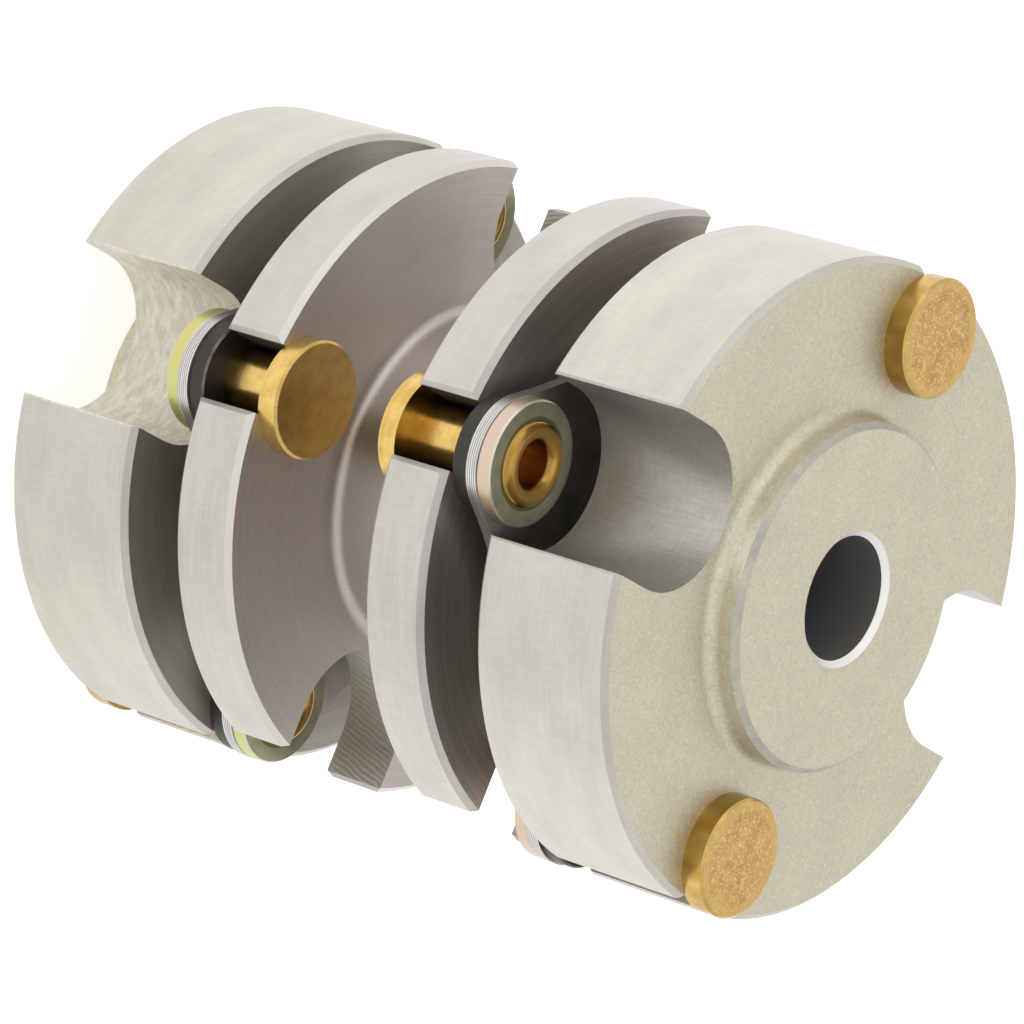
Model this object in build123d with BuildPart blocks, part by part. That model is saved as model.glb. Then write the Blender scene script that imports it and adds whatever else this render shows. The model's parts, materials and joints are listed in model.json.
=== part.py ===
"""Riveted double-flex disc coupling: two hubs, a centre spool and two laminated disc packs.

The coupling stands on the boss of its lower hub. Its shaft axis is +Z, and the origin is where
that axis meets the face of the boss. Every piece is placed from the middle of the spool: a half
of the coupling is built on a plane there whose normal points out towards its own shaft end.
"""

import os

from build123d import *

# Driving dimensions, in millimetres.

# Hubs: a thick disc with a raised round boss on its outer face.
BODY_R = 15.875  # rim of the hubs and of the spool flanges
HUB_T = 7.65
HUB_EDGE = 0.28
HUB_CUT_EDGE = 0.12  # where its scallops and slots open at the rim
BORE_R = 3.0
BORE_EDGE = 0.28
BOSS_H = 1.55
BOSS_FILLET = 0.6
BOSS_EDGE = 0.3

# Spool: a barrel between two flanges, bored clear of the shaft ends.
FLANGE_T = 3.5
FLANGE_EDGE = 0.28
FLANGE_CUT_EDGE = 0.25  # where its scallops and slots open at the rim
FLANGE_GAP = 8.45  # between the inner faces of the two flanges
BARREL_FILLET = 0.6
SHAFT_CLEARANCE = 0.8  # between a shaft that fits the hubs and the wall of the spool's bore

# Rivets: a flat head, a plain shank and a tubular end rolled over the washer.
RIVET_INSET = 2.87  # from the rim in to a rivet's axis
HEAD_R = 2.89
HUB_HEAD_T = 1.2
SPOOL_HEAD_T = 1.1
HEAD_EDGE = 0.12
HEAD_GAP = 1.115  # from the fillet of the boss or barrel to the rivet heads
SHANK_R = 1.5
ROLL_R = 2.07
ROLL_H = 0.38
TUBE_R = 1.1
TUBE_DEPTH = 2.2

# Spacer rings and washers.
SPACER_R = 2.93
SPACER_T = 0.925
SPACER_EDGE = 0.1
WASHER_R = 3.0
WASHER_T = 0.8
WASHER_EDGE = 0.08

# Disc packs: spring discs with four ears and a waisted side between each two ears. The packs are
# flexed: each waisted side runs from its ear on a spool rivet out to its ear on a hub rivet.
DISC_T = 0.12
DISCS_IN_PACK = 5
EAR_MARGIN = 0.02  # ear beyond the washer
WAIST_DEPTH = 2.1  # from the rivet circle in to the middle of a waisted side
DISC_HOLE_R = 6.5
FLEX = 0.775  # how much further out the packs lie at the hub rivets than at the spool rivets
FLEX_REACH = 4.5  # from the middle of a waisted side to where the disc is flat again

# Open cuts: rivet slots and the scallops that clear the rivet ends of the facing member.
HUB_SLOT_PLAY = 0.0
FLANGE_SLOT_PLAY = 0.24
SCALLOP_CLEARANCE = 0.95  # around the washer
SCALLOP_FLOOR_GAP = 0.1  # from the fillet of the boss or barrel to the floor of a scallop

# Derived radii and angles.
RIVETS_PER_MEMBER = 2
RIVETS_PER_PACK = 2 * RIVETS_PER_MEMBER
RIVET_CIRCLE_R = BODY_R - RIVET_INSET
BOSS_R = RIVET_CIRCLE_R - HEAD_R - HEAD_GAP - BOSS_FILLET
BARREL_R = RIVET_CIRCLE_R - HEAD_R - HEAD_GAP - BARREL_FILLET
WAIST_R = RIVET_CIRCLE_R - WAIST_DEPTH
SCALLOP_R = WASHER_R + SCALLOP_CLEARANCE
EAR_R = WASHER_R + EAR_MARGIN
SPOOL_BORE_R = BORE_R + SHAFT_CLEARANCE
RUN_OUT = BODY_R  # an open cut starts at its round root and runs this far, past the rim
HUB_RIVET_ANGLE = 0
SPOOL_RIVET_ANGLE = 90

# Stations, as distances out from the middle of the spool.
PACK_T = DISCS_IN_PACK * DISC_T
FLANGE_INNER = FLANGE_GAP / 2
FLANGE_OUTER = FLANGE_INNER + FLANGE_T
PACK_INNER = FLANGE_OUTER + SPACER_T  # at the spool rivets
PACK_OUTER = PACK_INNER + PACK_T
FLEXED_INNER = PACK_INNER + FLEX  # at the hub rivets
FLEXED_OUTER = PACK_OUTER + FLEX
HUB_INNER = FLEXED_OUTER + SPACER_T
HUB_OUTER = HUB_INNER + HUB_T
BOSS_FACE = HUB_OUTER + BOSS_H

UPPER = Plane(origin=(0, 0, BOSS_FACE), x_dir=(1, 0, 0), z_dir=(0, 0, 1))
LOWER = Plane(origin=(0, 0, BOSS_FACE), x_dir=(1, 0, 0), z_dir=(0, 0, -1))


def save(part, name):
    """Label a finished piece and write it to its own STEP file."""
    part.label = name
    export_step(part, f"parts/{name}.step")


def section_plane(base):
    """The plane through the axis of base, with +X out from that axis and +Y along it."""
    return Plane(origin=base.origin, x_dir=base.x_dir, z_dir=-base.y_dir)


def axis_of(base):
    return Axis(base.origin, base.z_dir)


def open_cuts(base, root_r, half_width, first_angle):
    """A sketch of U-shaped cuts from the rim inwards, one for each rivet of a member."""
    with BuildSketch(base) as cuts:
        with PolarLocations(root_r, RIVETS_PER_MEMBER, start_angle=first_angle):
            Circle(half_width)
            Rectangle(RUN_OUT, 2 * half_width, align=(Align.MIN, Align.CENTER))
    return cuts.sketch


def rim_corners(edges):
    """The straight edges on the rim, where scallops and slots open through it."""
    upright = edges.filter_by(Axis.Z)
    return upright.filter_by(lambda e: Vector(e.center().X, e.center().Y).length > BODY_R - HUB_CUT_EDGE)


def make_hub(middle, name):
    """A hub, its flat inner face towards the disc pack and its boss outwards."""
    with BuildPart() as hub:
        with BuildSketch(section_plane(middle)):
            with BuildLine():
                Polyline(
                    (BORE_R, HUB_INNER),
                    (BODY_R, HUB_INNER),
                    (BODY_R, HUB_OUTER),
                    (BOSS_R, HUB_OUTER),
                    (BOSS_R, BOSS_FACE),
                    (BORE_R, BOSS_FACE),
                    close=True,
                )
            make_face()
        revolve(axis=axis_of(middle))
        rings = hub.edges().filter_by(GeomType.CIRCLE).group_by(lambda e: round(e.radius, 6))
        bore_rings, boss_rings, rim_rings = rings
        foot, crown = boss_rings.sort_by(axis_of(middle))
        fillet(foot, BOSS_FILLET)
        chamfer(crown, BOSS_EDGE)
        chamfer(rim_rings, HUB_EDGE)
        chamfer(bore_rings, BORE_EDGE)

        scallop_root = BOSS_R + BOSS_FILLET + SCALLOP_FLOOR_GAP + SCALLOP_R
        inner_face = middle.offset(HUB_INNER)
        scallops = open_cuts(inner_face, scallop_root, SCALLOP_R, SPOOL_RIVET_ANGLE)
        slot_half = SHANK_R + HUB_SLOT_PLAY
        slots = open_cuts(inner_face, RIVET_CIRCLE_R, slot_half, HUB_RIVET_ANGLE)
        extrude(scallops, amount=HUB_T + BOSS_H, mode=Mode.SUBTRACT)
        extrude(slots, amount=HUB_T + BOSS_H, mode=Mode.SUBTRACT)
        chamfer(rim_corners(hub.edges()), HUB_CUT_EDGE)
    save(hub.part, name)


def make_spool():
    """The centre spool, turned as one piece and then slotted and scalloped."""
    middle = UPPER
    with BuildPart() as spool:
        with BuildSketch(section_plane(middle)):
            with BuildLine():
                Polyline(
                    (SPOOL_BORE_R, -FLANGE_OUTER),
                    (BODY_R, -FLANGE_OUTER),
                    (BODY_R, -FLANGE_INNER),
                    (BARREL_R, -FLANGE_INNER),
                    (BARREL_R, FLANGE_INNER),
                    (BODY_R, FLANGE_INNER),
                    (BODY_R, FLANGE_OUTER),
                    (SPOOL_BORE_R, FLANGE_OUTER),
                    close=True,
                )
            make_face()
        revolve(axis=axis_of(middle))
        rings = spool.edges().filter_by(GeomType.CIRCLE).group_by(lambda e: round(e.radius, 6))
        bore_rings, barrel_rings, rim_rings = rings
        fillet(barrel_rings, BARREL_FILLET)
        chamfer(rim_rings, FLANGE_EDGE)
        chamfer(bore_rings, BORE_EDGE)

        scallop_root = BARREL_R + BARREL_FILLET + SCALLOP_FLOOR_GAP + SCALLOP_R
        end_face = middle.offset(-FLANGE_OUTER)
        scallops = open_cuts(end_face, scallop_root, SCALLOP_R, HUB_RIVET_ANGLE)
        slot_half = SHANK_R + FLANGE_SLOT_PLAY
        slots = open_cuts(end_face, RIVET_CIRCLE_R, slot_half, SPOOL_RIVET_ANGLE)
        extrude(scallops, amount=2 * FLANGE_OUTER, mode=Mode.SUBTRACT)
        extrude(slots, amount=2 * FLANGE_OUTER, mode=Mode.SUBTRACT)
        chamfer(rim_corners(spool.edges()), FLANGE_CUT_EDGE)
    save(spool.part, "spool")


def disc_blank():
    """A spring disc as a flat sketch: an ear round each rivet, joined by tangent hollow arcs."""
    half_pitch = 180 / RIVETS_PER_PACK
    ear = Vector(RIVET_CIRCLE_R, 0)
    along_bisector = ear.rotate(Axis.Z, half_pitch).normalized()
    inset = WAIST_R - EAR_R
    reach = ear.dot(along_bisector)
    hollow_centre = along_bisector * ((RIVET_CIRCLE_R**2 - inset**2) / (2 * (reach - inset)))
    joint = ear + (hollow_centre - ear).normalized() * EAR_R
    mirrored_joint = Vector(joint.X, -joint.Y)
    tip = Vector(RIVET_CIRCLE_R + EAR_R, 0)
    waist = along_bisector * WAIST_R
    with BuildSketch() as blank:
        with BuildLine():
            for turn in range(RIVETS_PER_PACK):
                angle = turn * 2 * half_pitch
                start = mirrored_joint.rotate(Axis.Z, angle)
                end = joint.rotate(Axis.Z, angle)
                next_start = mirrored_joint.rotate(Axis.Z, angle + 2 * half_pitch)
                ThreePointArc(start, tip.rotate(Axis.Z, angle), end)
                ThreePointArc(end, waist.rotate(Axis.Z, angle), next_start)
        make_face()
        Circle(DISC_HOLE_R, mode=Mode.SUBTRACT)
        with PolarLocations(RIVET_CIRCLE_R, RIVETS_PER_PACK):
            Circle(SHANK_R, mode=Mode.SUBTRACT)
    return blank.sketch


def flexed_section(middle, level):
    """A flexed disc cut along a waisted side: level at one ear, two arcs, level at the next."""
    to_hub_rivet = middle.x_dir - middle.y_dir
    plane = Plane(origin=middle.origin, x_dir=to_hub_rivet, z_dir=to_hub_rivet.cross(middle.z_dir))
    with BuildSketch(plane) as section:
        with BuildLine():
            for face in (level, level + DISC_T):
                half_way = (0, face + FLEX / 2)
                bend_at_spool = (-FLEX_REACH, face)
                bend_at_hub = (FLEX_REACH, face + FLEX)
                Line((-BODY_R, face), bend_at_spool)
                TangentArc(bend_at_spool, half_way, tangent=(1, 0))
                TangentArc(bend_at_hub, half_way, tangent=(-1, 0))
                Line(bend_at_hub, (BODY_R, face + FLEX))
            Line((-BODY_R, level), (-BODY_R, level + DISC_T))
            Line((BODY_R, level + FLEX), (BODY_R, level + FLEX + DISC_T))
        make_face()
    return section.sketch


def make_disc(middle, layer, name):
    """One spring disc of a pack, counted outwards from the spool: a quarter, mirrored twice."""
    level = PACK_INNER + layer * DISC_T
    with BuildPart() as disc:
        with BuildSketch(middle):
            add(disc_blank())
            Rectangle(RUN_OUT * 2, RUN_OUT * 2, align=(Align.MIN, Align.MIN), mode=Mode.INTERSECT)
        extrude(amount=HUB_INNER)
        extrude(flexed_section(middle, level), amount=RUN_OUT * 2, both=True, mode=Mode.INTERSECT)
        mirror(about=Plane.YZ)
        mirror(about=Plane.XZ)
    save(disc.part, name)


def make_ring(base, outer_r, thickness, edge, name):
    """A flat ring on a rivet's shank, with broken outer edges."""
    with BuildPart() as ring:
        with BuildSketch(base):
            Circle(outer_r)
            Circle(SHANK_R, mode=Mode.SUBTRACT)
        extrude(amount=thickness)
        outer_edges = ring.edges().filter_by(GeomType.CIRCLE).group_by(lambda e: e.radius)[-1]
        chamfer(outer_edges, edge)
    save(ring.part, name)


def make_rivet(seat, head_t, grip, name):
    """A tubular rivet whose head lies on seat and whose shank runs along the normal of seat."""
    tail = grip + ROLL_H
    roll_mid_r = (ROLL_R + TUBE_R) / 2
    with BuildPart() as rivet:
        with BuildSketch(section_plane(seat)):
            with BuildLine():
                Polyline(
                    (TUBE_R, grip),
                    (TUBE_R, tail - TUBE_DEPTH),
                    (0, tail - TUBE_DEPTH),
                    (0, -head_t),
                    (HEAD_R - HEAD_EDGE, -head_t),
                    (HEAD_R, HEAD_EDGE - head_t),
                    (HEAD_R, 0),
                    (SHANK_R, 0),
                    (SHANK_R, grip),
                    (ROLL_R, grip),
                )
                ThreePointArc((ROLL_R, grip), (roll_mid_r, tail), (TUBE_R, grip))
            make_face()
        revolve(axis=axis_of(seat))
    save(rivet.part, name)


def rivet_station(middle, distance, angle, outwards):
    """The plane across a rivet's axis, at a distance from the middle, facing out or back in."""
    radial = middle.x_dir.rotate(Axis.Z, angle)
    origin = middle.origin + middle.z_dir * distance + radial * RIVET_CIRCLE_R
    normal = middle.z_dir if outwards else -middle.z_dir
    return Plane(origin=origin, x_dir=radial, z_dir=normal)


def make_hub_joint(middle, half, side, angle):
    """A rivet through the hub, with its spacer ring, and its washer on the spool's side."""
    tag = f"hub_{half}_{side}"
    grip = HUB_T + SPACER_T + PACK_T + WASHER_T
    head_seat = rivet_station(middle, HUB_OUTER, angle, outwards=False)
    spacer_seat = rivet_station(middle, FLEXED_OUTER, angle, outwards=True)
    washer_seat = rivet_station(middle, FLEXED_INNER, angle, outwards=False)
    make_rivet(head_seat, HUB_HEAD_T, grip, f"rivet_{tag}")
    make_ring(spacer_seat, SPACER_R, SPACER_T, SPACER_EDGE, f"spacer_{tag}")
    make_ring(washer_seat, WASHER_R, WASHER_T, WASHER_EDGE, f"washer_{tag}")


def make_spool_joint(middle, half, side, angle):
    """A rivet through the spool flange, with its spacer ring, and its washer on the hub's side."""
    tag = f"spool_{half}_{side}"
    grip = FLANGE_T + SPACER_T + PACK_T + WASHER_T
    head_seat = rivet_station(middle, FLANGE_INNER, angle, outwards=True)
    spacer_seat = rivet_station(middle, FLANGE_OUTER, angle, outwards=True)
    washer_seat = rivet_station(middle, PACK_OUTER, angle, outwards=True)
    make_rivet(head_seat, SPOOL_HEAD_T, grip, f"rivet_{tag}")
    make_ring(spacer_seat, SPACER_R, SPACER_T, SPACER_EDGE, f"spacer_{tag}")
    make_ring(washer_seat, WASHER_R, WASHER_T, WASHER_EDGE, f"washer_{tag}")


os.makedirs("parts", exist_ok=True)
make_spool()
for half, middle in (("upper", UPPER), ("lower", LOWER)):
    make_hub(middle, f"hub_{half}")
    for layer in range(DISCS_IN_PACK):
        make_disc(middle, layer, f"disc_{half}_{layer + 1}")
    for side, turn in (("plus", 0), ("minus", 180)):
        make_hub_joint(middle, half, f"x_{side}", HUB_RIVET_ANGLE + turn)
        make_spool_joint(middle, half, f"y_{side}", SPOOL_RIVET_ANGLE + turn)
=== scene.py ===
"""Looks of the riveted disc coupling: finishes, floor, light and camera round the CAD frame."""

import json
from math import cos, radians, sin

import bpy
from mathutils import Matrix, Vector


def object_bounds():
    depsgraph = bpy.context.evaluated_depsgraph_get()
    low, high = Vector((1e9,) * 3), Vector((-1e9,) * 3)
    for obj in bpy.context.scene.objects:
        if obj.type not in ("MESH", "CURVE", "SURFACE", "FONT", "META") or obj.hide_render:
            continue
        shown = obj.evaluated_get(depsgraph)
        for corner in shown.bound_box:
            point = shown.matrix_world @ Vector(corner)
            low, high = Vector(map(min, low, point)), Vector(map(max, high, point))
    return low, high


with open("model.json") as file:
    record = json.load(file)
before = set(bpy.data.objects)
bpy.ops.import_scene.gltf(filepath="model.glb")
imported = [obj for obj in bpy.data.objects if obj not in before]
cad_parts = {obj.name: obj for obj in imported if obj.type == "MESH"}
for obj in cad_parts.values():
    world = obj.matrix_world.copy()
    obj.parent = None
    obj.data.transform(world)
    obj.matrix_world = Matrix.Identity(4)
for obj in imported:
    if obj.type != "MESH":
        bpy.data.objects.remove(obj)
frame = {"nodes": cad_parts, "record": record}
cad_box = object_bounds()

MM = 0.001
LOW, HIGH = (Vector(corner) for corner in cad_box)
MIDDLE = (LOW + HIGH) / 2
MIDDLE_Z = MIDDLE.z / MM

# Radii of the coupling, in millimetres, that the finishes change at.
RIM_R = 15.875
BORE_R = 3.0
SCALLOP_R = 3.95
SCALLOP_ROOT = 13.05  # centre of a scallop's round floor
RIVET_CIRCLE_R = 13.005
TUBE_R = 1.1
SHADE_RING_R = 2.2  # painted shade: a dark ring on a washer, beside the rolled lip of its rivet
HEAD_BORDER_R = 2.25
WASHER_R = 3.0
SLOT_REACH = 1.9  # the walls of a rivet slot lie nearer than this to its middle line

# Heights from the middle of the coupling, in millimetres.
FLANGE_INNER = 4.225
FLANGE_OUTER = 7.725
PACK_INNER = 8.65
HUB_INNER = 10.95
HUB_OUTER = 18.6
CROWN_FROM = HUB_OUTER + 0.9  # between the fillet at the foot of a boss and its upper edge

# The flexed spring discs.
DISC_T = 0.12
FLEX = 0.775
FLEX_REACH = 4.5

# The painted shade on one side of the rims: where its strip starts, is at its full, and ends, and how
# dark it is.
SHADE_STRIP_FROM = radians(-135)
SHADE_STRIP_FULL = radians(-62)
SHADE_STRIP_TO = radians(-28)
PAINTED_RIM_SHADE = 0.14

# Depth of the relief in the metals.
ALUMINIUM_RELIEF = 0.018 * MM
BRASS_RELIEF = 0.02 * MM


def rgb(red, green, blue):
    return (red, green, blue, 1.0)


def shade(red, green, blue):
    """A colour written as it shows on a screen, from 0 to 255."""
    return rgb(*(((level / 255 + 0.055) / 1.055) ** 2.4 for level in (red, green, blue)))


WHITE = rgb(1, 1, 1)


class Shader:
    """A node material built line by line; most methods add nodes and return their output."""

    def __init__(self, name):
        self.material = bpy.data.materials.new(name)
        self.material.use_nodes = True
        self.tree = self.material.node_tree
        self.surface = self.tree.nodes["Principled BSDF"]

    def node(self, kind, **settings):
        node = self.tree.nodes.new(kind)
        for key, value in settings.items():
            setattr(node, key, value)
        return node

    def feed(self, socket, value):
        if isinstance(value, bpy.types.NodeSocket):
            self.tree.links.new(value, socket)
        else:
            socket.default_value = value

    def feed_all(self, sockets, values):
        for socket, value in zip(sockets, values):
            self.feed(socket, value)

    def math(self, operation, *values):
        node = self.node("ShaderNodeMath", operation=operation)
        self.feed_all(node.inputs, values)
        return node.outputs[0]

    def total(self, first, *others):
        for other in others:
            first = self.math("ADD", first, other)
        return first

    def product(self, first, *others):
        for other in others:
            first = self.math("MULTIPLY", first, other)
        return first

    def minus(self, first, second):
        return self.math("SUBTRACT", first, second)

    def opposite(self, value):
        """1 where a field is 0, and 0 where it is 1."""
        return self.minus(1.0, value)

    def absolute(self, value):
        return self.math("ABSOLUTE", value)

    def larger(self, first, second):
        return self.math("MAXIMUM", first, second)

    def vector(self, operation, *values):
        node = self.node("ShaderNodeVectorMath", operation=operation)
        self.feed_all(node.inputs, values)
        return node.outputs["Value" if operation == "LENGTH" else "Vector"]

    def point(self):
        """Position on the object, in millimetres."""
        coordinates = self.node("ShaderNodeTexCoord").outputs["Object"]
        return self.vector("MULTIPLY", coordinates, (1 / MM, 1 / MM, 1 / MM))

    def normal(self):
        return self.node("ShaderNodeNewGeometry").outputs["True Normal"]

    def split(self, vector):
        node = self.node("ShaderNodeSeparateXYZ")
        self.feed(node.inputs[0], vector)
        return node.outputs[0], node.outputs[1], node.outputs[2]

    def join(self, x, y, z=0.0):
        node = self.node("ShaderNodeCombineXYZ")
        self.feed_all(node.inputs, (x, y, z))
        return node.outputs[0]

    def stretch(self, first, first_scale, second, second_scale, third=0.0):
        """A vector of two fields at their own scales, for noise that is drawn out one way."""
        return self.join(self.product(first, first_scale), self.product(second, second_scale), third)

    def noise(self, vector, scale=1.0, detail=2.0, roughness=0.5):
        node = self.node("ShaderNodeTexNoise")
        self.feed(node.inputs["Vector"], vector)
        node.inputs["Scale"].default_value = scale
        node.inputs["Detail"].default_value = detail
        node.inputs["Roughness"].default_value = roughness
        return node.outputs["Fac"]

    def step(self, value, low, high):
        """0 below low, 1 above high, smooth in between."""
        node = self.node("ShaderNodeMapRange", interpolation_type="SMOOTHSTEP")
        self.feed(node.inputs["Value"], value)
        node.inputs["From Min"].default_value = low
        node.inputs["From Max"].default_value = high
        return node.outputs["Result"]

    def below(self, value, limit):
        """1 where a field is under a limit, fading to 0 just past it."""
        return self.opposite(self.step(value, limit, limit + 0.05))

    def span(self, value, low, high, to_low, to_high):
        """Move the range from low to high onto another range, and stop at its ends."""
        node = self.node("ShaderNodeMapRange")
        self.feed(node.inputs["Value"], value)
        node.inputs["From Min"].default_value = low
        node.inputs["From Max"].default_value = high
        node.inputs["To Min"].default_value = to_low
        node.inputs["To Max"].default_value = to_high
        return node.outputs["Result"]

    def vary(self, field, low, high, reach=0.2):
        """Stretch the middle of a noise field, 0.5 give or take the reach, onto a range."""
        return self.span(field, 0.5 - reach, 0.5 + reach, low, high)

    def mix(self, factor, first, second):
        """Blend two colours, or two heights, by factor."""
        pair = (first, second)
        numbers = all(isinstance(v, float) or getattr(v, "type", "") == "VALUE" for v in pair)
        node = self.node("ShaderNodeMix", data_type="FLOAT" if numbers else "RGBA")
        start, end = (2, 3) if numbers else (6, 7)
        self.feed(node.inputs[0], factor)
        self.feed(node.inputs[start], first)
        self.feed(node.inputs[end], second)
        return node.outputs[0 if numbers else 2]

    def tint(self, colour, factor):
        """Darken or lighten a colour by a number."""
        scale = self.node("ShaderNodeVectorMath", operation="SCALE")
        self.feed(scale.inputs[0], colour if not isinstance(colour, tuple) else colour[:3])
        self.feed(scale.inputs["Scale"], factor)
        return scale.outputs["Vector"]

    def ramp(self, fac, stops):
        """A colour that runs through the given stops as fac goes from 0 to 1."""
        node = self.node("ShaderNodeValToRGB")
        self.feed(node.inputs[0], fac)
        first, *between, last = stops
        node.color_ramp.elements[0].color = first[1]
        node.color_ramp.elements[1].color = last[1]
        for position, colour in between:
            node.color_ramp.elements.new(position).color = colour
        return node.outputs[0]

    def bump(self, height, distance):
        """Relief of the given depth, in metres."""
        node = self.node("ShaderNodeBump")
        node.inputs["Strength"].default_value = 1.0
        node.inputs["Distance"].default_value = distance
        self.feed(node.inputs["Height"], height)
        self.feed(self.surface.inputs["Normal"], node.outputs[0])

    def set(self, **values):
        for key, value in values.items():
            self.feed(self.surface.inputs[key.replace("_", " ").title()], value)


class Place:
    """Where a point lies on the coupling: the fields that the finishes are built from."""

    def __init__(self, shader):
        self.point = shader.point()
        self.x, self.y, self.z = shader.split(self.point)
        across, along, up = shader.split(shader.normal())
        self.radius = shader.vector("LENGTH", shader.join(self.x, self.y))
        self.height = shader.absolute(shader.minus(self.z, MIDDLE_Z))
        self.turn = shader.math("ARCTAN2", self.y, self.x)
        self.upper = shader.step(self.z, MIDDLE_Z - 0.5, MIDDLE_Z + 0.5)

        # How far the surface looks up or down, and how far it looks away from the axis.
        self.facing = shader.absolute(up)
        self.flat = shader.step(self.facing, 0.85, 0.95)
        self.upright = shader.opposite(shader.step(self.facing, 0.05, 0.2))
        self.broken = shader.product(shader.step(self.facing, 0.2, 0.4), shader.below(self.facing, 0.9))
        outward = shader.total(shader.product(self.x, across), shader.product(self.y, along))
        self.outward = shader.math("DIVIDE", outward, self.radius)
        outside = shader.step(self.radius, RIM_R - 0.5, RIM_R - 0.4)
        self.rim = shader.product(outside, shader.step(self.outward, 0.6, 0.65))

        # The rivets, slots and scallops all lie along X or along Y.
        self.off_x = shader.absolute(self.x)
        self.off_y = shader.absolute(self.y)
        self.wide = shader.larger(self.off_x, self.off_y)
        self.narrow = shader.math("MINIMUM", self.off_x, self.off_y)
        out = shader.minus(self.wide, RIVET_CIRCLE_R)
        self.rivet_radius = shader.vector("LENGTH", shader.join(out, self.narrow))
        self.rivet_turn = shader.math("ARCTAN2", self.narrow, out)


def turned_rim(shader, place):
    """Fine tool lines round a rim, crossed by short draw marks, the cloudiness of the metal, and a strip
    of painted shade.
    """
    arc = shader.product(place.turn, RIM_R)
    lines = shader.noise(shader.stretch(arc, 0.35, place.height, 7.0), detail=3.0)
    draws = shader.noise(shader.stretch(arc, 5.0, place.height, 0.8, 3.0))
    clouds = shader.noise(shader.stretch(arc, 0.22, place.height, 0.5, 7.0), detail=3.0)
    level = shader.total(shader.vary(lines, -0.045, 0.045, 0.25), shader.vary(draws, -0.035, 0.035, 0.25))
    level = shader.total(level, shader.vary(clouds, -0.06, 0.05))

    # Painted shade: one side of every rim is darkened in a soft strip.
    rising = shader.step(place.turn, SHADE_STRIP_FROM, SHADE_STRIP_FULL)
    falling = shader.opposite(shader.step(place.turn, SHADE_STRIP_FULL, SHADE_STRIP_TO))
    level = shader.minus(level, shader.product(rising, falling, PAINTED_RIM_SHADE))
    return shader.total(level, 1.0), lines


def milled_wall(shader, place):
    """The walls of a hub's open cuts: short feed marks, and the brushed finish of the upper hub."""
    feed = shader.minus(place.z, shader.product(place.wide, 0.13))
    marks = shader.stretch(feed, 2.8, place.wide, 1.1, shader.product(place.narrow, 1.1))
    ridge = shader.noise(marks, detail=4.0, roughness=0.68)
    side = shader.math("DIVIDE", shader.product(place.x, place.y), place.wide)
    depth = shader.minus(SCALLOP_ROOT, place.wide)
    arc = shader.product(shader.math("ARCTAN2", side, depth), SCALLOP_R)
    along = shader.noise(shader.stretch(place.height, 0.7, arc, 6.0), detail=3.0, roughness=0.6)
    across = shader.noise(shader.stretch(place.height, 8.0, arc, 0.9), detail=3.0, roughness=0.6)
    return ridge, shader.mix(0.5, along, across)


def cutter_lines(shader, place):
    """Even slanting lines that the cutter leaves on the open cuts of the spool."""
    slant = shader.minus(place.wide, shader.product(place.z, 0.3))
    waver = shader.noise(place.point, 1.2)
    phase = shader.total(shader.product(slant, 23.0), shader.product(waver, 7.0))
    even = shader.span(shader.math("SINE", phase), -1.0, 1.0, 0.3, 0.7)
    return shader.mix(0.45, even, shader.noise(place.point, 3.0, 3.0, 0.6))


def grain(shader, place):
    """Matt blasted grain: fine speckle with scattered bright grains."""
    fine = shader.noise(place.point, 6.5, 2.0, 0.6)
    coarse = shader.noise(place.point, 2.4, 3.0, 0.6)
    clouds = shader.noise(place.point, 0.33)
    spark = shader.step(shader.noise(place.point, 5.0, 1.0), 0.66, 0.74)
    level = shader.total(shader.vary(fine, -0.10, 0.10), shader.vary(coarse, -0.05, 0.05))
    level = shader.total(level, shader.vary(clouds, -0.03, 0.03), shader.product(spark, 0.14), 1.0)
    return level, fine


def turned_face(shader, place, ring_pitch, contrast):
    """Fine turning rings on a flat face, and soft fans of painted sheen across it."""
    across_rings = shader.product(place.radius, 1 / ring_pitch)
    rings = shader.noise(shader.join(across_rings, 0.0, shader.product(place.height, 0.3)))
    round_axis = shader.join(shader.math("COSINE", place.turn), shader.math("SINE", place.turn), 2.0)
    # Painted sheen: broad fans of lighter and darker colour round the axis.
    painted_sheen_fans = shader.noise(round_axis, 2.6, 1.0)
    level = shader.product(shader.vary(rings, -1.0, 1.0), contrast)
    return shader.total(level, shader.vary(painted_sheen_fans, -0.05, 0.05), 1.0), rings


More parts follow.
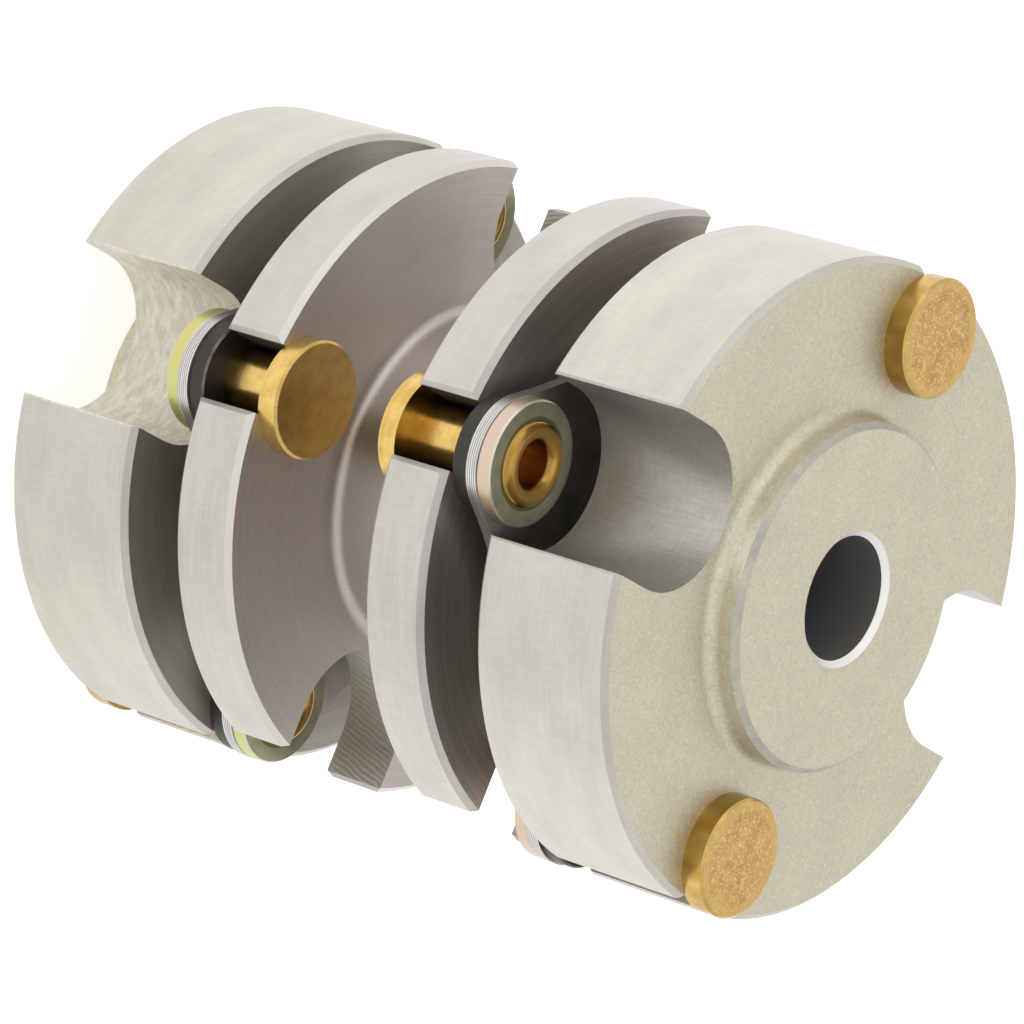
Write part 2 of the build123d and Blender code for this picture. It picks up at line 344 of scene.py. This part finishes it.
def aluminium_hub():
    """Blasted faces, turned rim, milled cuts, a bore painted dark grey as shade, and a polished mouth
    painted white as a highlight.
    """
    shader = Shader("aluminium_hub")
    place = Place(shader)
    rim_level, rim_relief = turned_rim(shader, place)
    face_level, face_relief = grain(shader, place)
    ridge, brushed = milled_wall(shader, place)
    ring_level, ring_relief = turned_face(shader, place, ring_pitch=0.16, contrast=0.09)
    inner = shader.product(place.flat, shader.below(place.height, HUB_INNER + 0.05))
    bore = shader.below(place.radius, BORE_R + 0.01)
    mouth = shader.product(place.broken, shader.below(place.radius, BORE_R + 0.5))
    raised = shader.step(place.height, HUB_OUTER, HUB_OUTER + 0.1)
    boss = shader.product(place.upright, shader.step(place.outward, 0.9, 0.95), raised)
    wall = shader.product(place.upright, shader.opposite(shader.larger(place.rim, boss)))
    crown = shader.product(place.broken, shader.step(place.height, CROWN_FROM, CROWN_FROM + 0.1))
    crown = shader.product(crown, shader.opposite(mouth))
    crown_shade_patches = shader.vary(shader.noise(place.point, 0.8, 3.0, 0.6), 0.35, 0.85)

    face = shader.tint(shade(211, 205, 184), face_level)
    face = shader.mix(inner, face, shader.tint(shade(176, 170, 160), ring_level))
    # Painted light: the lower hub's cut walls are painted much lighter than the upper hub's plain walls;
    # their ridges are feed marks.
    ridged_painted_light = shader.tint(shade(238, 232, 218), shader.vary(ridge, 0.72, 1.14))
    plain_wall = shader.tint(shade(180, 178, 172), shader.vary(brushed, 0.86, 1.12, 0.15))
    colour = shader.mix(wall, face, shader.mix(place.upper, ridged_painted_light, plain_wall))
    colour = shader.mix(place.rim, colour, shader.tint(shade(205, 202, 192), rim_level))
    # Painted shade: the bore is a dark grey; painted highlight: its mouth is near white.
    colour = shader.mix(bore, colour, shade(104, 101, 98))
    colour = shader.mix(mouth, colour, shade(246, 244, 241))
    # Painted shade: a patchy grey line on the chamfer at the crown of each boss.
    colour = shader.mix(shader.product(crown, crown_shade_patches), colour, shade(170, 167, 160))

    metal = shader.mix(wall, 0.85, shader.mix(place.upper, 0.35, 0.8))
    metal = shader.product(metal, shader.opposite(bore))
    cut = shader.mix(place.upper, shader.product(ridge, 2.2), shader.product(brushed, 0.5))
    relief = shader.mix(wall, shader.product(face_relief, 1.3), cut)
    relief = shader.mix(place.rim, relief, shader.product(rim_relief, 0.5))
    relief = shader.mix(inner, relief, shader.product(ring_relief, 0.5))
    relief = shader.product(relief, shader.opposite(shader.larger(bore, mouth)))
    shader.bump(relief, ALUMINIUM_RELIEF)
    shader.set(base_color=colour, metallic=metal, roughness=shader.mix(wall, 0.5, 0.4))
    return shader.material


def aluminium_spool():
    """Turned flanges and barrel, milled notches, rivet slots with painted shade inside, and a painted
    highlight on the inner rim edges.
    """
    shader = Shader("aluminium_spool")
    place = Place(shader)
    rim_level, rim_relief = turned_rim(shader, place)
    outer_face = shader.step(place.height, FLANGE_OUTER - 0.2, FLANGE_OUTER - 0.1)
    contrast = shader.mix(outer_face, 0.04, 0.12)
    ring_level, ring_relief = turned_face(shader, place, ring_pitch=0.2, contrast=contrast)
    speckle, _ = grain(shader, place)
    ridge = cutter_lines(shader, place)
    between = shader.below(place.height, FLANGE_INNER - 0.3)
    barrel = shader.product(shader.step(place.outward, 0.9, 0.95), between)
    wall = shader.product(place.upright, shader.opposite(shader.larger(place.rim, barrel)))
    towards_y = shader.step(shader.minus(place.off_y, place.off_x), 0.0, 0.05)
    # Painted shade: the walls of the rivet slots are painted dark, where shade falls inside them.
    slot_painted_shade = shader.product(wall, shader.below(place.narrow, SLOT_REACH), towards_y, 0.8)
    # Painted highlight: the chamfers on the inner edges of the flange rims are painted light.
    inner_edge = shader.product(place.broken, place.rim, shader.below(place.height, FLANGE_INNER + 0.4))

    face = shader.tint(shade(195, 187, 181), ring_level)
    face = shader.tint(face, shader.span(speckle, 0.8, 1.2, 0.94, 1.06))
    colour = shader.mix(wall, face, shader.tint(shade(178, 173, 164), shader.vary(ridge, 0.85, 1.10)))
    colour = shader.mix(slot_painted_shade, colour, shade(66, 62, 56))
    colour = shader.mix(place.rim, colour, shader.tint(shade(197, 194, 188), rim_level))
    colour = shader.mix(inner_edge, colour, shade(222, 219, 213))
    relief = shader.mix(wall, shader.product(ring_relief, 0.5), shader.product(ridge, 2.2))
    relief = shader.mix(place.rim, relief, shader.product(rim_relief, 0.5))
    shader.bump(relief, ALUMINIUM_RELIEF)
    metal = shader.mix(wall, 0.95, 0.5)
    shader.set(base_color=colour, metallic=metal, roughness=shader.mix(place.rim, 0.4, 0.46))
    return shader.material


def brass():
    """Turned brass, darker on the rolled lips as painted shade; the heads on the hubs are rougher and
    stained, with bright flecks.
    """
    shader = Shader("brass")
    place = Place(shader)
    past_hub = shader.step(place.height, HUB_OUTER + 0.05, HUB_OUTER + 0.1)
    hub_head = shader.product(past_hub, place.flat)
    side = shader.product(shader.step(place.height, HUB_OUTER, HUB_OUTER + 0.05), place.upright)
    tube = shader.product(shader.below(place.rivet_radius, TUBE_R), place.upright)
    border = shader.step(place.rivet_radius, HEAD_BORDER_R, HEAD_BORDER_R + 0.15)
    past_flange = shader.step(place.height, 5.0, 6.0)
    behind = shader.product(past_flange, shader.below(place.height, HUB_OUTER - 1.0))
    rolled = shader.product(behind, shader.step(place.facing, 0.2, 0.5))

    rings = shader.noise(shader.stretch(place.rivet_radius, 6.0, place.z, 4.0))
    stain = shader.vary(shader.noise(place.point, 1.3, 3.0, 0.6), 0.0, 1.0, 0.15)
    fleck = shader.step(shader.noise(place.point, 7.0, 2.0, 0.7), 0.54, 0.62)
    pit = shader.step(shader.noise(place.point, 7.0, 1.0), 0.74, 0.78)
    drawn = shader.join(place.rivet_turn, shader.product(place.z, 0.2))
    side_dark_patches = shader.vary(shader.noise(drawn, 1.6), 0.2, 0.8, 0.15)

    smooth = shader.mix(stain, shade(199, 164, 92), shade(215, 183, 112))
    smooth = shader.tint(smooth, shader.vary(rings, 0.95, 1.05))
    smooth = shader.mix(shader.product(pit, 0.6), smooth, shade(110, 78, 32))
    # Painted shade: the rolled lips are a darker brass than the heads; their rings are tool marks.
    smooth = shader.mix(rolled, smooth, shader.tint(shade(182, 142, 74), shader.vary(rings, 0.85, 1.15)))
    # The sides of the hub heads carry darker patches of brass.
    smooth = shader.mix(shader.product(side, side_dark_patches), smooth, shade(150, 112, 50))
    rough = shader.mix(stain, shade(196, 153, 95), shade(215, 179, 111))
    rough = shader.mix(shader.product(fleck, 0.85), rough, shade(240, 212, 150))
    rough = shader.mix(shader.product(border, 0.5), rough, shade(222, 188, 116))
    colour = shader.mix(hub_head, smooth, rough)
    colour = shader.mix(tube, colour, shade(204, 164, 104))

    coarse = shader.noise(place.point, 4.0, 3.0, 0.6)
    coarse = shader.product(coarse, shader.opposite(shader.product(border, 0.8)))
    shader.bump(shader.mix(hub_head, shader.product(rings, 0.15), coarse), BRASS_RELIEF)
    shader.set(base_color=colour, metallic=1.0, roughness=shader.mix(hub_head, 0.26, 0.42))
    return shader.material


def black_ring():
    """Black oxide, worn to steel on the edges."""
    shader = Shader("black_ring")
    place = Place(shader)
    wear = shader.vary(shader.noise(place.point, 1.6, 3.0), 0.2, 0.8)
    streak = shader.noise(place.point, 2.5, 3.0, 0.6)
    colour = shader.tint(shade(50, 47, 43), shader.vary(streak, 0.8, 1.1))
    colour = shader.mix(shader.product(place.broken, wear), colour, shade(142, 136, 126))
    shader.set(base_color=colour, metallic=0.35, roughness=0.42)
    return shader.material


# Chromate film on the edges of the washers, from one end of its drift to the other.
PINK_FILM = (
    (0.0, shade(192, 184, 126)),
    (0.3, shade(202, 186, 142)),
    (0.6, shade(203, 177, 168)),
    (1.0, shade(198, 182, 150)),
)
GREEN_FILM = (
    (0.0, shade(178, 186, 118)),
    (0.5, shade(190, 196, 128)),
    (1.0, shade(198, 192, 124)),
)


def zinc_yellow():
    """Zinc plate with a chromate film that shows pink, gold and pale green on the edge, and a ring of
    painted shade round each rivet lip.
    """
    shader = Shader("zinc_yellow")
    place = Place(shader)
    side = shader.product(place.upright, shader.step(place.rivet_radius, WASHER_R - 0.2, WASHER_R - 0.1))
    drift = shader.vary(shader.noise(place.point, 0.42, 1.0), 0.0, 1.0, 0.18)
    film = shader.mix(place.upper, shader.ramp(drift, GREEN_FILM), shader.ramp(drift, PINK_FILM))
    blotch = shader.noise(place.point, 1.1, 3.0, 0.6)
    face = shader.mix(shader.vary(blotch, 0.0, 1.0, 0.15), shade(158, 160, 138), shade(178, 174, 146))
    face = shader.tint(face, shader.vary(shader.noise(place.point, 6.0), 0.95, 1.05))
    # Painted shade: a dark ring round the rolled lip on each washer face.
    shade_ring = shader.product(shader.below(place.rivet_radius, SHADE_RING_R), 0.8)
    face = shader.mix(shade_ring, face, shade(112, 104, 40))
    colour = shader.mix(side, face, film)
    colour = shader.mix(place.broken, colour, shade(220, 220, 204))
    shader.set(base_color=colour, metallic=0.9, roughness=0.34)
    return shader.material


def flex_rise(shader, place):
    """How far out a flexed disc lies at this point, past its level at the spool rivets."""
    reach = shader.minus(place.off_x, place.off_y)
    run = shader.span(reach, -FLEX_REACH * 2**0.5, FLEX_REACH * 2**0.5, 0.0, 1.0)
    start = shader.math("MINIMUM", run, 0.5)
    rest = shader.opposite(shader.larger(run, 0.5))
    curve = shader.minus(shader.product(start, start, 2.0), shader.product(rest, rest, 2.0))
    return shader.product(shader.total(curve, 0.5), FLEX)


def spring_steel():
    """Bright spring strip; the sheared edge of each disc shows as its own line."""
    shader = Shader("spring_steel")
    place = Place(shader)
    level = shader.minus(shader.minus(place.height, PACK_INNER), flex_rise(shader, place))
    layer = shader.math("FRACT", shader.math("DIVIDE", level, DISC_T))
    off_middle = shader.absolute(shader.minus(layer, 0.5))
    seam = shader.product(place.upright, shader.step(off_middle, 0.28, 0.46))
    streak = shader.noise(shader.stretch(place.x, 0.6, place.y, 0.6, shader.product(place.z, 9.0)))
    colour = shader.tint(shade(206, 204, 200), shader.vary(streak, 0.80, 1.1))
    colour = shader.mix(seam, colour, shade(84, 82, 80))
    shader.set(base_color=colour, metallic=1.0, roughness=0.3)
    return shader.material


def dress_nodes():
    finishes = {
        "aluminium_hub": aluminium_hub(),
        "aluminium_spool": aluminium_spool(),
        "brass": brass(),
        "black_ring": black_ring(),
        "zinc_yellow": zinc_yellow(),
        "spring_steel": spring_steel(),
    }
    slots = {part["node"]: part["material_slot"] for part in frame["record"]["subparts"]}
    for name, node in frame["nodes"].items():
        for slot_painted_shade in node.material_slots:
            slot_painted_shade.material = finishes[slots[name]]


def seen_directly(shader):
    """1 for the rays that show the background itself, straight or by a mirror, and 0 for light."""
    rays = shader.node("ShaderNodeLightPath").outputs
    straight = shader.larger(rays["Is Camera Ray"], rays["Is Glossy Ray"])
    return shader.larger(straight, rays["Is Transmission Ray"])


def white_floor():
    """Matt white that shows white where it is lit and keeps the coupling's shadow."""
    shader = Shader("floor")
    shader.set(base_color=rgb(0.86, 0.86, 0.86), roughness=0.9, emission_color=WHITE)
    shader.set(emission_strength=shader.product(seen_directly(shader), 0.6))
    return shader.material


def make_floor(half=0.6):
    """A square floor, half of whose side is given in metres, under the coupling."""
    mesh = bpy.data.meshes.new("floor")
    corners = [(-half, -half, 0), (half, -half, 0), (half, half, 0), (-half, half, 0)]
    mesh.from_pydata(corners, [], [(0, 1, 2, 3)])
    mesh.materials.append(white_floor())
    floor = bpy.data.objects.new("floor", mesh)
    bpy.context.scene.collection.objects.link(floor)
    floor.location.z = LOW.z


# Camera: the point it aims at, where it stands seen from there, its roll and its lens.
AIM = Vector((0.000603, 0.000081, 0.020195))
DISTANCE = 0.27435
AZIMUTH = radians(7.697)
ELEVATION = radians(37.006)
ROLL = radians(-106.814)
LENS_MM = 199.003
SENSOR_MM = 36.0


def make_camera():
    camera = bpy.data.objects.new("camera", bpy.data.cameras.new("camera"))
    bpy.context.scene.collection.objects.link(camera)
    away = Vector((sin(AZIMUTH) * cos(ELEVATION), -cos(AZIMUTH) * cos(ELEVATION), sin(ELEVATION)))
    turn = away.to_track_quat("Z", "Y").to_matrix() @ Matrix.Rotation(-ROLL, 3, "Z")
    camera.matrix_world = Matrix.Translation(AIM + away * DISTANCE) @ turn.to_4x4()
    camera.data.lens = LENS_MM
    camera.data.sensor_width = SENSOR_MM
    camera.data.clip_start = 0.01
    bpy.context.scene.camera = camera


def make_lamp(name, direction, distance, size, watts):
    lamp = bpy.data.objects.new(name, bpy.data.lights.new(name, "AREA"))
    lamp.data.size = size
    lamp.data.energy = watts
    bpy.context.scene.collection.objects.link(lamp)
    away = Vector(direction).normalized()
    turn = away.to_track_quat("Z", "Y").to_matrix().to_4x4()
    lamp.matrix_world = Matrix.Translation(MIDDLE + away * distance) @ turn


def make_lights():
    world = bpy.data.worlds.new("studio")
    world.use_nodes = True
    bpy.context.scene.world = world
    background = world.node_tree.nodes["Background"]
    background.inputs["Color"].default_value = WHITE
    background.inputs["Strength"].default_value = 0.9
    make_lamp("soft_side", (-0.7, -0.6, 0.5), distance=0.5, size=0.4, watts=0.2)
    make_lamp("soft_top", (0.2, -0.3, 1.0), distance=0.6, size=0.4, watts=0.12)
    bpy.context.scene.view_settings.view_transform = "Standard"


dress_nodes()
make_floor()
make_lights()
make_camera()
